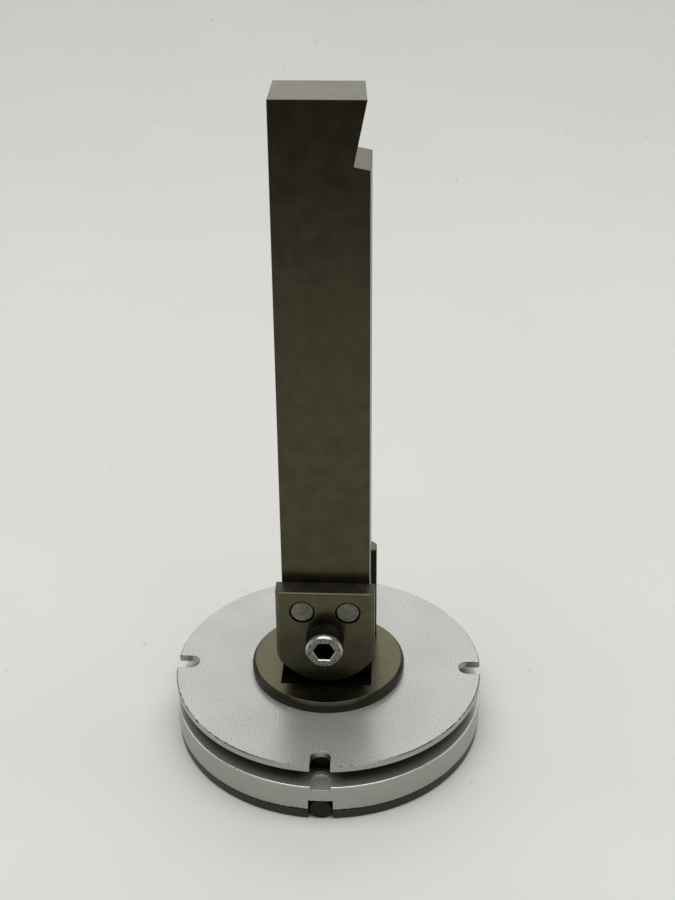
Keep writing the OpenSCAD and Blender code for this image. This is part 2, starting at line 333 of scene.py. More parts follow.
foot_plate = turn("foot_plate_blackened", [
    (FOOT_HOLE_RADIUS + FOOT_EDGE, foot_low.z), (FOOT_RADIUS - 2.5 * FOOT_EDGE, foot_low.z),
    (FOOT_RADIUS - FOOT_EDGE, foot_low.z + 0.5 * FOOT_EDGE),
    (FOOT_RADIUS, foot_low.z + 2.5 * FOOT_EDGE), (FOOT_RADIUS, foot_high.z - FOOT_EDGE),
    (FOOT_RADIUS - FOOT_EDGE, foot_high.z), (FOOT_HOLE_RADIUS, foot_high.z),
    (FOOT_HOLE_RADIUS, foot_low.z + FOOT_EDGE), (FOOT_HOLE_RADIUS + FOOT_EDGE, foot_low.z)])
for index in range(4):
    for tool in pin_space(index):
        machine(foot_plate, tool)
    around = math.radians(-45 + 90 * index)
    x, y = FOOT_SCREW_CIRCLE * math.cos(around), FOOT_SCREW_CIRCLE * math.sin(around)
    machine(foot_plate, round_tool(FOOT_SCREW_RADIUS + FOOT_SCREW_GAP, 4 * foot_high.z,
                                   (x, y, foot_high.z / 2)))
    bpy.ops.object.select_all(action="DESELECT")
    sink_depth = FOOT_SCREW_SINK + FOOT_SCREW_RADIUS + OVERRUN
    bpy.ops.mesh.primitive_cone_add(
        vertices=64, radius1=FOOT_SCREW_HEAD_RADIUS + FOOT_SCREW_SINK + OVERRUN,
        radius2=FOOT_SCREW_RADIUS, depth=sink_depth, location=(x, y, sink_depth / 2 - OVERRUN))
    machine(foot_plate, bpy.context.object)
break_edges(foot_plate, 0.08 * MM)

# Blackened steel, turned: nearly black, a satin sheen, fine turning lines round the edge.
BLACKENED = srgb("10100F")
BLACKENED_WORN = srgb("1C1B19")
blackened, tree = new_material("steel blackened turned")
place = add(tree, "TexCoord").outputs["Object"]
stretched = add(tree, "Mapping", {"Scale": (0.02, 0.02, 1)}, {"Vector": place})
lines = add(tree, "TexNoise", {"Scale": repeat(0.25), "Detail": 2},
            {"Vector": stretched.outputs[0]})
clouds = add(tree, "TexNoise", {"Scale": repeat(6), "Detail": 4}, {"Vector": place})
tone = add(tree, "Mix", {"data_type": "RGBA", 6: BLACKENED, 7: BLACKENED_WORN},
           {0: clouds.outputs[0]})
sheen = add(tree, "MapRange", {"To Min": 0.34, "To Max": 0.5}, {"Value": clouds.outputs[0]})
relief = add(tree, "Bump", {"Strength": 0.25, "Distance": 0.01 * MM}, {"Height": lines.outputs[0]})
surface(tree, {"Metallic": 0, "IOR": 1.5},
        {"Base Color": tone.outputs[2], "Roughness": sheen.outputs[0],
         "Normal": relief.outputs[0]})
foot_plate.data.materials.append(blackened)
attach(foot_plate, "base")
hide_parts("foot_plate")


def hex_tool(across, depth, place):
    """A six-sided cutter for a key socket, with two flats square to Y."""
    bpy.ops.object.select_all(action="DESELECT")
    bpy.ops.mesh.primitive_cylinder_add(
        vertices=6, radius=across / 2 / math.cos(math.pi / 6), depth=depth, location=place,
        rotation=(0, 0, math.pi / 6))
    return bpy.context.object


_, foot_screw_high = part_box("foot_plate_screws")
foot_screw = turn("foot_plate_screws_countersunk", [
    (FOOT_SCREW_HEAD_RADIUS - 1.5 * FOOT_SCREW_EDGE, FOOT_SCREW_SINK),
    (FOOT_SCREW_HEAD_RADIUS, FOOT_SCREW_SINK + FOOT_SCREW_EDGE),
    (FOOT_SCREW_RADIUS, FOOT_SCREW_SINK + FOOT_SCREW_RADIUS + FOOT_SCREW_EDGE),
    (FOOT_SCREW_RADIUS, foot_screw_high.z - FOOT_SCREW_TIP),
    (FOOT_SCREW_RADIUS - FOOT_SCREW_TIP, foot_screw_high.z)], steps=64)
machine(foot_screw, hex_tool(FOOT_KEY, 2 * FOOT_KEY_DEPTH, (0, 0, FOOT_SCREW_SINK)))
break_edges(foot_screw, 0.06 * MM)
foot_screw.location = (FOOT_SCREW_CIRCLE * math.cos(math.pi / 4),
                       FOOT_SCREW_CIRCLE * math.sin(math.pi / 4), 0)
finish_transform(foot_screw)
foot_screws = [foot_screw]
for index in range(1, 4):
    copy = foot_screw.copy()
    copy.data = foot_screw.data.copy()
    bpy.context.collection.objects.link(copy)
    copy.matrix_world = Matrix.Rotation(index * math.pi / 2, 4, "Z")
    finish_transform(copy)
    foot_screws.append(copy)
bpy.ops.object.select_all(action="DESELECT")
for screw in foot_screws:
    screw.select_set(True)
bpy.context.view_layer.objects.active = foot_screw
bpy.ops.object.join()

# Plain alloy steel screw: mid grey, drawn and forged, smooth with a thin film of oil.
SCREW_STEEL = srgb("A09F96")
SCREW_STEEL_DARK = srgb("45443E")
screw_steel, tree = new_material("screw steel forged oiled")
place = add(tree, "TexCoord").outputs["Object"]
mottle = add(tree, "TexNoise", {"Scale": repeat(0.55), "Detail": 4, "Roughness": 0.65},
             {"Vector": place})
fine = add(tree, "TexNoise", {"Scale": repeat(0.22), "Detail": 2}, {"Vector": place})
share = add(tree, "MapRange", {"From Min": 0.35, "From Max": 0.65}, {"Value": mottle.outputs[0]})
tone = add(tree, "Mix", {"data_type": "RGBA", 6: SCREW_STEEL_DARK, 7: SCREW_STEEL},
           {0: share.outputs[0]})
sheen = add(tree, "MapRange", {"To Min": 0.26, "To Max": 0.46}, {"Value": mottle.outputs[0]})
relief = add(tree, "Bump", {"Strength": 0.2, "Distance": 0.01 * MM}, {"Height": fine.outputs[0]})
surface(tree, {"Metallic": 1},
        {"Base Color": tone.outputs[2], "Roughness": sheen.outputs[0],
         "Normal": relief.outputs[0]})
foot_screw.data.materials.append(screw_steel)
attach(foot_screw, "base")
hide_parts("foot_plate_screws")


# ---- Base disc ----
# A round aluminium disc, turned with a square groove round its rim, milled with four round-ended
# rim slots, four square notches and the pin bores, then bead-blasted and clear anodised.
DISC_EDGE = 0.3 * MM
GROOVE_FLOOR = disc_low.z + 7.7 * MM
GROOVE_ROOF = GROOVE_FLOOR + 4.9 * MM
GROOVE_RADIUS = disc_high.x - 7.5 * MM
SLOT_WIDTH = 5.3 * MM
SLOT_LENGTH = 6.1 * MM
SLOT_CUT = 0.9 * MM
spigot_low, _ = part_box("holder")
SPIGOT_BORE = 9.03 * MM
WASHER_RADIUS = 11 * MM
RECESS_RADIUS = 11.5 * MM
RECESS_TOP = spigot_low.z - 0.3 * MM
FOOT_BORE_DEPTH = 12 * MM
NEAR = 0.01 * MM                            # places closer than this count as one

rim = disc_high.x
lip = [(rim - DISC_EDGE * (1 - math.cos(math.radians(a))),
        GROOVE_FLOOR - DISC_EDGE * (1 - math.sin(math.radians(a)))) for a in range(0, 91, 18)]
disc = turn("base_disc_anodised", [
    (RECESS_RADIUS, disc_low.z), (rim - DISC_EDGE, disc_low.z),
    (rim, disc_low.z + DISC_EDGE), *lip, (GROOVE_RADIUS, GROOVE_FLOOR),
    (GROOVE_RADIUS, GROOVE_ROOF), (rim - DISC_EDGE, GROOVE_ROOF),
    (rim, GROOVE_ROOF + DISC_EDGE), (rim, disc_high.z - DISC_EDGE),
    (rim - DISC_EDGE, disc_high.z), (SPIGOT_BORE, disc_high.z),
    (SPIGOT_BORE, RECESS_TOP), (RECESS_RADIUS, RECESS_TOP), (RECESS_RADIUS, disc_low.z)])
for index in range(4):
    slot_end = -(rim - SLOT_LENGTH + SLOT_WIDTH / 2)
    slot_floor = GROOVE_FLOOR - SLOT_CUT
    slot_top = disc_high.z + OVERRUN
    slot_tool = round_tool(SLOT_WIDTH / 2, slot_top - slot_floor,
                           (0, slot_end, (slot_top + slot_floor) / 2))
    bpy.ops.object.mode_set(mode="EDIT")
    bpy.ops.mesh.select_all(action="SELECT")
    bpy.ops.mesh.bisect(plane_co=(0, slot_end, 0), plane_no=(0, 1, 0), use_fill=True,
                        clear_inner=True, threshold=0.001 * MM)
    bpy.ops.mesh.extrude_region_move(
        TRANSFORM_OT_translate={"value": (0, -rim - OVERRUN - slot_end, 0)})
    bpy.ops.mesh.select_all(action="SELECT")
    bpy.ops.mesh.normals_make_consistent(inside=False)
    bpy.ops.object.mode_set(mode="OBJECT")
    machine(disc, quarter(slot_tool, index))
    for tool in pin_space(index):
        machine(disc, tool)
    around = math.radians(-45 + 90 * index)
    machine(disc, round_tool(
        FOOT_SCREW_RADIUS + THREAD_GAP, FOOT_BORE_DEPTH,
        (FOOT_SCREW_CIRCLE * math.cos(around), FOOT_SCREW_CIRCLE * math.sin(around),
         disc_low.z - 0.1 * MM)))
bpy.ops.object.mode_set(mode="EDIT")
bpy.ops.mesh.select_all(action="SELECT")
bpy.ops.mesh.dissolve_limited(angle_limit=math.radians(0.1))
bpy.ops.object.mode_set(mode="OBJECT")
break_edges(disc, 0.1 * MM)

# Clear anodised aluminium, bead-blasted: pale satin grey with a fine even grain. The real grain
# is about 0.1 mm, drawn as 0.3 mm so that it shows.
BLASTED = srgb("D4D6D1")
BLASTED_DARK = srgb("979995")
# Near black, for painted shade in the bottom of the groove.
GROOVE_PAINTED_SHADE = srgb("151613")
GRAIN = 0.3


def with_groove_painted_shade(tree, place, tone):
    """The tone, darkened towards the bottom of the groove as painted shade."""
    flat = add(tree, "VectorMath", {"operation": "MULTIPLY", 1: (1, 1, 0)}, {0: place})
    from_axis = add(tree, "VectorMath", {"operation": "LENGTH"}, {0: flat.outputs[0]})
    deep = add(tree, "MapRange", {"From Min": GROOVE_RADIUS, "From Max": disc_high.x - 0.3 * MM,
                                  "To Min": 0.97, "To Max": 0},
               {"Value": from_axis.outputs["Value"]})
    height = add(tree, "SeparateXYZ", (), {0: place})
    below = add(tree, "MapRange", {"From Min": GROOVE_ROOF - 0.02 * MM, "To Min": 1, "To Max": 0,
                                   "From Max": GROOVE_ROOF + 0.02 * MM},
                {"Value": height.outputs["Z"]})
    above = add(tree, "MapRange", {"From Min": GROOVE_FLOOR - 0.04 * MM,
                                   "From Max": GROOVE_FLOOR - 0.02 * MM},
                {"Value": height.outputs["Z"]})
    inner = add(tree, "Math", {"operation": "MULTIPLY"}, {0: deep.outputs[0], 1: below.outputs[0]})
    share = add(tree, "Math", {"operation": "MULTIPLY"},
                {0: inner.outputs[0], 1: above.outputs[0]})
    return add(tree, "Mix", {"data_type": "RGBA", 7: GROOVE_PAINTED_SHADE}, {0: share.outputs[0], 6: tone})


blasted, tree = new_material("aluminium bead-blasted clear anodised")
place = add(tree, "TexCoord").outputs["Object"]
grain = add(tree, "TexNoise", {"Scale": repeat(GRAIN), "Detail": 2, "Roughness": 0.6},
            {"Vector": place})
clouds = add(tree, "TexNoise", {"Scale": repeat(14), "Detail": 3}, {"Vector": place})
spots = add(tree, "MapRange", {"From Min": 0.35, "From Max": 0.65}, {"Value": grain.outputs[0]})
tone = add(tree, "Mix", {"data_type": "RGBA", 6: BLASTED_DARK, 7: BLASTED}, {0: spots.outputs[0]})
# Painted shade darkens the groove.
tone = with_groove_painted_shade(tree, place, tone.outputs[2])
haze = add(tree, "MapRange", {"From Min": 0.3, "From Max": 0.7, "To Min": 0.34, "To Max": 0.44},
           {"Value": clouds.outputs[0]})
relief = add(tree, "Bump", {"Strength": 0.35, "Distance": 0.02 * MM},
             {"Height": grain.outputs[0]})
surface(tree, {"Metallic": 0.6},
        {"Base Color": tone.outputs[2], "Roughness": haze.outputs[0],
         "Normal": relief.outputs[0]})

# The same aluminium on the turned rim and in the groove: fine lines run round it, its upper edge is
# nicked at the sides, and painted shade darkens the groove.
TURNED = srgb("B0B0AB")
TURNED_DARK = srgb("A2A29D")
NICK = srgb("33322E")
NICK_REACH = 0.9 * MM                       # down from the upper edge
NICKS_FROM, NICKS_TO = 22 * MM, 34 * MM     # sideways, where nicks begin and are thickest
TICK_REACH = 1.1 * MM                       # up from the lower edge
TICKS_FROM, TICKS_TO = -36 * MM, -41 * MM   # forwards, where tool marks begin and are thickest
turned, tree = new_material("aluminium turned clear anodised")
place = add(tree, "TexCoord").outputs["Object"]
stretched = add(tree, "Mapping", {"Scale": (0.01, 0.01, 1)}, {"Vector": place})
lines = add(tree, "TexNoise", {"Scale": repeat(0.3), "Detail": 3},
            {"Vector": stretched.outputs[0]})
clouds = add(tree, "TexNoise", {"Scale": repeat(5), "Detail": 4}, {"Vector": place})
streaks = add(tree, "MapRange", {"From Min": 0.3, "From Max": 0.7}, {"Value": lines.outputs[0]})
tone = add(tree, "Mix", {"data_type": "RGBA", 6: TURNED_DARK, 7: TURNED},
           {0: streaks.outputs[0]})
along = add(tree, "SeparateXYZ", (), {0: place})
near_edge = add(tree, "MapRange", {"From Min": disc_high.z - NICK_REACH, "From Max": disc_high.z},
                {"Value": along.outputs["Z"]})
outward = add(tree, "Math", {"operation": "ABSOLUTE"}, {0: along.outputs["X"]})
at_sides = add(tree, "MapRange", {"From Min": NICKS_FROM, "From Max": NICKS_TO, "To Min": 0.82},
               {"Value": outward.outputs[0]})
dents = add(tree, "TexNoise", {"Scale": repeat(1.3), "Detail": 3, "Roughness": 0.7},
            {"Vector": place})
dented = add(tree, "Math", {"operation": "MULTIPLY"},
             {0: dents.outputs[0], 1: near_edge.outputs[0]})
worn = add(tree, "Math", {"operation": "MULTIPLY"}, {0: dented.outputs[0], 1: at_sides.outputs[0]})
nicked = add(tree, "MapRange", {"From Min": 0.4, "From Max": 0.48}, {"Value": worn.outputs[0]})
tone = add(tree, "Mix", {"data_type": "RGBA", 7: NICK}, {0: nicked.outputs[0], 6: tone.outputs[2]})
# Painted shade darkens the groove.
tone = with_groove_painted_shade(tree, place, tone.outputs[2])

# Short upright tool marks along the lower edge, beside the front notch.
upright = add(tree, "Mapping", {"Scale": (1, 1, 0.15)}, {"Vector": place})
ticks = add(tree, "TexNoise", {"Scale": repeat(0.5), "Detail": 1}, {"Vector": upright.outputs[0]})
near_foot = add(tree, "MapRange", {"From Min": disc_low.z + TICK_REACH, "From Max": disc_low.z},
                {"Value": along.outputs["Z"]})
near_front = add(tree, "MapRange", {"From Min": TICKS_FROM, "From Max": TICKS_TO},
                 {"Value": along.outputs["Y"]})
near_both = add(tree, "Math", {"operation": "MULTIPLY"},
                {0: near_foot.outputs[0], 1: near_front.outputs[0]})
marked = add(tree, "Math", {"operation": "MULTIPLY"},
             {0: near_both.outputs[0], 1: ticks.outputs[0]})
cut_deep = add(tree, "MapRange", {"From Min": 0.28, "From Max": 0.34}, {"Value": marked.outputs[0]})
tone = add(tree, "Mix", {"data_type": "RGBA", 7: NICK},
           {0: cut_deep.outputs[0], 6: tone.outputs[2]})
haze = add(tree, "MapRange", {"From Min": 0.3, "From Max": 0.7, "To Min": 0.28, "To Max": 0.4},
           {"Value": clouds.outputs[0]})
relief = add(tree, "Bump", {"Strength": 0.2, "Distance": 0.01 * MM}, {"Height": lines.outputs[0]})
surface(tree, {"Metallic": 1},
        {"Base Color": tone.outputs[2], "Roughness": haze.outputs[0],
         "Normal": relief.outputs[0]})
disc.data.materials.append(blasted)
disc.data.materials.append(turned)

# The same aluminium on the edge over the groove, painted nearly white and glossy as a highlight: a
# clean bright line.
bright, tree = new_material("aluminium edge painted highlight")
surface(tree, {"Metallic": 1, "Roughness": 0.2, "Base Color": srgb("E4E4DE")}, ())
disc.data.materials.append(bright)
# Top faces and groove floor blasted, the edge over the groove the painted highlight, the rest
# turned.
for face in disc.data.polygons:
    far_out = face.center.xy.length > rim - DISC_EDGE - 0.1 * MM
    on_groove_floor = face.normal.z > 0.9 and GROOVE_FLOOR - MM < face.center.z < GROOVE_ROOF
    if face.center.z > disc_high.z - 0.05 * MM or on_groove_floor:
        face.material_index = 0
    elif far_out and GROOVE_FLOOR - DISC_EDGE < face.center.z < GROOVE_FLOOR - NEAR:
        face.material_index = 2
    else:
        face.material_index = 1
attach(disc, "base")
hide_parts("base_disc")


# ---- Key pins ----
# Four hardened pins, blackened, lie in bores between disc and foot plate. Their round ends show
# in the square notches and lock the plate against turning.
PIN_EDGE = 0.3 * MM
PIN_BACK_EDGE = 0.2 * MM

# Hardened and blackened steel: near black with a bluish cast, mottled by the heat.
PIN_BLACK = srgb("1E1D1E")
PIN_WORN = srgb("3A3838")
pin_black, tree = new_material("steel hardened blackened")
place = add(tree, "TexCoord").outputs["Object"]
mottle = add(tree, "TexNoise", {"Scale": repeat(1.6), "Detail": 5}, {"Vector": place})
tone = add(tree, "Mix", {"data_type": "RGBA", 6: PIN_BLACK, 7: PIN_WORN},
           {0: mottle.outputs[0]})
relief = add(tree, "Bump", {"Strength": 0.3, "Distance": 0.02 * MM}, {"Height": mottle.outputs[0]})
surface(tree, {"Metallic": 1, "Roughness": 0.42},
        {"Base Color": tone.outputs[2], "Normal": relief.outputs[0]})
for index, side in enumerate(("front", "right", "back", "left")):
    pin = turn("key_pin_" + side + "_blackened", [
        (PIN_RADIUS - PIN_BACK_EDGE, 0), (PIN_RADIUS, PIN_BACK_EDGE),
        (PIN_RADIUS, PIN_LENGTH - PIN_EDGE), (PIN_RADIUS - PIN_EDGE, PIN_LENGTH)], steps=64)
    pin.matrix_world = (
        Matrix.Rotation(index * math.pi / 2, 4, "Z")
        @ Matrix.Translation((0, -rim + PIN_INSET + PIN_LENGTH, disc_low.z))
        @ Matrix.Rotation(math.pi / 2, 4, "X"))
    finish_transform(pin)
    break_edges(pin, 0.06 * MM, from_angle=30)
    pin.data.materials.append(pin_black)
    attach(pin, "base")
    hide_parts("key_pin_" + side)


# ---- Holder ----
# One steel piece: a turned flange with a spigot below it that turns in the disc, and a rear jaw
# that is turned at the back and milled flat at its sides and front.
holder_low, holder_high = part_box("holder")
plate_low, plate_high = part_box("clamp_plate")
bar_low, bar_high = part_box("upright_bar")
screw_low, screw_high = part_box("clamp_screw")
dowel_low, dowel_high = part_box("dowel_right")
FLANGE_TOP = disc_high.z + 2.9 * MM
FLANGE_CHAMFER = 0.85 * MM
SPIGOT_RADIUS = 9 * MM
HUB_RADIUS = 17.8 * MM
POCKET_GAP = 0.45 * MM
CENTRE_THREAD = 4.05 * MM
CENTRE_BORE_DEPTH = 14 * MM
SCREW_THREAD = 3.05 * MM
SPIGOT_CHAMFER = 0.5 * MM
screw_height = (screw_low.z + screw_high.z) / 2
dowel_height = (dowel_low.z + dowel_high.z) / 2
dowel_offset = (dowel_low.x + dowel_high.x) / 2
dowel_radius = (dowel_high.x - dowel_low.x) / 2
flange_radius = holder_high.x


def cut_flat(piece, point, normal):
    """Cuts off all that lies past a plane, on the side its normal points to, and closes the cut."""
    select_only(piece)
    bpy.ops.object.mode_set(mode="EDIT")
    bpy.ops.mesh.select_all(action="SELECT")
    bpy.ops.mesh.bisect(plane_co=point, plane_no=normal, use_fill=True, clear_outer=True,
                        threshold=0.001 * MM)
    bpy.ops.mesh.select_all(action="SELECT")
    bpy.ops.mesh.normals_make_consistent(inside=False)
    bpy.ops.object.mode_set(mode="OBJECT")


holder = turn("holder_steel", [
    (SPIGOT_RADIUS - SPIGOT_CHAMFER, holder_low.z),
    (SPIGOT_RADIUS, holder_low.z + SPIGOT_CHAMFER),
    (SPIGOT_RADIUS, disc_high.z), (flange_radius, disc_high.z),
    (flange_radius, FLANGE_TOP - FLANGE_CHAMFER),
    (flange_radius - FLANGE_CHAMFER, FLANGE_TOP)])
jaw = turn("jaw_blank", [(HUB_RADIUS, FLANGE_TOP - OVERRUN), (HUB_RADIUS, holder_high.z)])
cut_flat(jaw, (0, bar_high.y, 0), (0, -1, 0))
cut_flat(jaw, (plate_high.x, 0, 0), (1, 0, 0))
cut_flat(jaw, (plate_low.x, 0, 0), (-1, 0, 0))
machine(holder, jaw, "UNION")
machine(holder, square_tool(
    (bar_low.x - POCKET_GAP, plate_low.y, bar_low.z),
    (bar_high.x + POCKET_GAP, bar_high.y, FLANGE_TOP + OVERRUN)))
back = HUB_RADIUS + OVERRUN
machine(holder, round_tool(SCREW_THREAD, back - bar_high.y + OVERRUN,
                           (0, (back + bar_high.y - OVERRUN) / 2, screw_height),
                           (math.pi / 2, 0, 0)))
for side in (-1, 1):
    machine(holder, round_tool(dowel_radius, dowel_high.y - bar_high.y + OVERRUN,
                               (side * dowel_offset, (dowel_high.y + bar_high.y - OVERRUN) / 2,
                                dowel_height), (math.pi / 2, 0, 0)))
machine(holder, round_tool(CENTRE_THREAD, CENTRE_BORE_DEPTH,
                           (0, 0, holder_low.z - MM + CENTRE_BORE_DEPTH / 2)))
break_edges(holder, 0.15 * MM, from_angle=40)


def ground_steel(name, light, dark, streak_scale, haze_low, haze_high):
    """Ground and oiled tool steel: brownish grey, satin, with fine streaks along the grinding."""
    material, tree = new_material(name)
    place = add(tree, "TexCoord").outputs["Object"]
    along = add(tree, "Mapping", {"Scale": streak_scale}, {"Vector": place})
    streaks = add(tree, "TexNoise", {"Scale": repeat(0.35), "Detail": 3, "Roughness": 0.6},
                  {"Vector": along.outputs[0]})
    mottle = add(tree, "TexNoise", {"Scale": repeat(4), "Detail": 3, "Roughness": 0.5},
                 {"Vector": place})
    fine = add(tree, "TexNoise", {"Scale": repeat(0.25), "Detail": 2}, {"Vector": place})
    blend = add(tree, "Math", {"operation": "MULTIPLY_ADD", 1: 0.5},
                {0: streaks.outputs[0], 2: mottle.outputs[0]})
    share = add(tree, "MapRange", {"From Min": 0.5, "From Max": 1.0}, {"Value": blend.outputs[0]})
    tone = add(tree, "Mix", {"data_type": "RGBA", 6: srgb(dark), 7: srgb(light)},
               {0: share.outputs[0]})
    haze = add(tree, "MapRange", {"From Min": 0.3, "From Max": 0.7, "To Min": haze_low,
                                  "To Max": haze_high}, {"Value": mottle.outputs[0]})
    height = add(tree, "Math", {"operation": "ADD"},
                 {0: streaks.outputs[0], 1: fine.outputs[0]})
    relief = add(tree, "Bump", {"Strength": 0.3, "Distance": 0.01 * MM},
                 {"Height": height.outputs[0]})
    surface(tree, {"Metallic": 1},
            {"Base Color": tone.outputs[2], "Roughness": haze.outputs[0],
             "Normal": relief.outputs[0]})
    return material


# The flange's top was ground, with a clean sheen, and its colour is painted lighter as light. The
# sides were only turned, and their colour is painted darker as shade.
holder_top_painted_light = ground_steel("tool steel ground oiled painted light", "605E4C", "555241", (0.3, 0.3, 1),
                             0.27, 0.33)
holder_sides_painted_shade = ground_steel("tool steel turned oiled painted shade", "434135", "36342A", (0.1, 0.1, 1),
                             0.3, 0.42)

# The pocket was left as it came off the cutter: rough, and painted near black as shade.
recess_painted_shade, tree = new_material("tool steel rough painted shade")
surface(tree, {"Metallic": 0, "Roughness": 0.8, "Specular IOR Level": 0.05,
               "Base Color": srgb("0B0A08")}, ())
# Sides painted darker as shade, upward faces painted lighter as light.
for material in (holder_sides_painted_shade, holder_top_painted_light, recess_painted_shade):
    holder.data.materials.append(material)
# Pocket faces take the painted shade.
for face in holder.data.polygons:
    x, y, z = face.center
    if (abs(x) < bar_high.x + POCKET_GAP + 0.02 * MM
            and plate_low.y - 0.1 * MM < y < bar_high.y - OVERRUN
            and bar_low.z - 0.05 * MM < z < FLANGE_TOP - 0.2 * MM):
        face.material_index = 2
    elif face.normal.z > 0.9:
        face.material_index = 1
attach(holder, "turret")
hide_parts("holder")


# ---- Centre washer and centre screw ----
# A thick turned washer and a low socket head screw draw the holder down on the disc from below.
washer_low, washer_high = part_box("centre_washer")
centre_low, centre_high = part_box("centre_screw")
WASHER_HOLE = 4.3 * MM
CENTRE_RADIUS = 4 * MM
CENTRE_HEAD_RADIUS = (centre_high.x - centre_low.x) / 2
CENTRE_KEY = 6 * MM
CENTRE_KEY_DEPTH = 2.5 * MM
CENTRE_EDGE = 0.4 * MM
WASHER_EDGE = 0.2 * MM
washer = turn("centre_washer_turned", [
    (WASHER_HOLE, washer_low.z), (WASHER_RADIUS - WASHER_EDGE, washer_low.z),
    (WASHER_RADIUS, washer_low.z + WASHER_EDGE), (WASHER_RADIUS, washer_high.z - WASHER_EDGE),
    (WASHER_RADIUS - WASHER_EDGE, washer_high.z), (WASHER_HOLE, washer_high.z),
    (WASHER_HOLE, washer_low.z)], steps=96)
break_edges(washer, 0.06 * MM, from_angle=40)
washer.data.materials.append(screw_steel)
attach(washer, "turret")
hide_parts("centre_washer")

centre_screw = turn("centre_screw_low_head", [
    (CENTRE_HEAD_RADIUS - CENTRE_EDGE, centre_low.z),
    (CENTRE_HEAD_RADIUS, centre_low.z + CENTRE_EDGE), (CENTRE_HEAD_RADIUS, washer_low.z),
    (CENTRE_RADIUS, washer_low.z), (CENTRE_RADIUS, centre_high.z - CENTRE_EDGE),
    (CENTRE_RADIUS - CENTRE_EDGE, centre_high.z)], steps=96)
machine(centre_screw, hex_tool(CENTRE_KEY, 2 * CENTRE_KEY_DEPTH, (0, 0, centre_low.z)))
break_edges(centre_screw, 0.08 * MM, from_angle=40)
centre_screw.data.materials.append(screw_steel)
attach(centre_screw, "turret")
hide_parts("centre_screw")


# ---- Upright bar ----
# A flat-ground tool steel bar that stands in the holder's pocket. A tilted seat is ground into
# its top corner: a leaning wall above a ledge square to it.
SEAT_INSET = 0.7 * MM
SEAT_WALL = 15.6 * MM
SEAT_LEAN = math.radians(11.5)
SEAT_SKEW = math.radians(3.4)
SCREW_CLEARANCE = 3.3 * MM
bar = square_tool(bar_low, bar_high)
bar.name = "upright_bar_ground"
bar_width, bar_depth = bar_high.x - bar_low.x, bar_high.y - bar_low.y
seat_tool = square_tool((0, -bar_depth, -SEAT_WALL), (bar_width, 2 * bar_depth, SEAT_WALL))
seat_tool.matrix_world = (
    Matrix.Translation((bar_high.x - SEAT_INSET, bar_low.y, bar_high.z))
    @ Matrix.Rotation(SEAT_SKEW, 4, "Z") @ Matrix.Rotation(SEAT_LEAN, 4, "Y"))
machine(bar, seat_tool)
middle_y = (bar_low.y + bar_high.y) / 2
machine(bar, round_tool(SCREW_CLEARANCE, 2 * bar_depth, (0, middle_y, screw_height),
                        (math.pi / 2, 0, 0)))
for side in (-1, 1):
    machine(bar, round_tool(dowel_radius, 2 * bar_depth,
                            (side * dowel_offset, middle_y, dowel_height), (math.pi / 2, 0, 0)))
break_edges(bar, 0.18 * MM, from_angle=30)

# Surface-ground tool steel under a film of oil: dark, warm grey, with streaks along the bar. Its
# top end was ground across, and its colour is painted lighter as light on the top face.
bar_steel = ground_steel("tool steel surface-ground oiled", "544F40", "484336",
                         (1, 1, 0.03), 0.28, 0.32)
bar_top_painted_light_steel = ground_steel("tool steel end-ground painted light", "656254", "59564A", (0.03, 1, 1), 0.3, 0.4)
bar.data.materials.append(bar_steel)
bar.data.materials.append(bar_top_painted_light_steel)
# The top faces take the steel painted lighter as light.
for face in bar.data.polygons:
    face.material_index = 1 if face.center.z > bar_high.z - 0.1 * MM else 0
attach(bar, "turret")
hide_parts("upright_bar")


# ---- Dowels ----
# Two hardened 6 mm dowel pins, ground all over, pressed through the bar into the rear jaw. The
# clamp plate slides on them, and their chamfered ends lie just inside its face.
DOWEL_EDGE = 0.2 * MM
DOWEL_INSET = 0.2 * MM

# Hardened steel, ground: pale grey, cloudy, with faint rings on the ends from facing.
DOWEL_DARK = srgb("55534A")
DOWEL_PALE = srgb("96948A")
dowel_steel, tree = new_material("dowel steel hardened ground")
place = add(tree, "TexCoord").outputs["Object"]
mirrored = add(tree, "VectorMath", {"operation": "ABSOLUTE"}, {0: place})
centred = add(tree, "VectorMath", {"operation": "SUBTRACT", 1: (dowel_offset, 0, dowel_height)},
              {0: mirrored.outputs[0]})
flattened = add(tree, "VectorMath", {"operation": "MULTIPLY", 1: (1, 0, 1)},
                {0: centred.outputs[0]})
from_axis = add(tree, "VectorMath", {"operation": "LENGTH"}, {0: flattened.outputs[0]})
rings = add(tree, "TexNoise", {"noise_dimensions": "1D", "Scale": repeat(0.35), "Detail": 2},
            {"W": from_axis.outputs["Value"]})
cloudy = add(tree, "TexNoise", {"Scale": repeat(1.4), "Detail": 5, "Roughness": 0.65},
             {"Vector": place})
mottle = add(tree, "Math", {"operation": "MULTIPLY_ADD", 1: 0.5},
             {0: rings.outputs[0], 2: cloudy.outputs[0]})
share = add(tree, "MapRange", {"From Min": 0.5, "From Max": 1.0}, {"Value": mottle.outputs[0]})
tone = add(tree, "Mix", {"data_type": "RGBA", 6: DOWEL_DARK, 7: DOWEL_PALE},
           {0: share.outputs[0]})
sheen = add(tree, "MapRange", {"To Min": 0.3, "To Max": 0.55}, {"Value": mottle.outputs[0]})
relief = add(tree, "Bump", {"Strength": 0.3, "Distance": 0.02 * MM}, {"Height": mottle.outputs[0]})
surface(tree, {"Metallic": 1},
        {"Base Color": tone.outputs[2], "Roughness": sheen.outputs[0],
         "Normal": relief.outputs[0]})
dowel_length = dowel_high.y - dowel_low.y
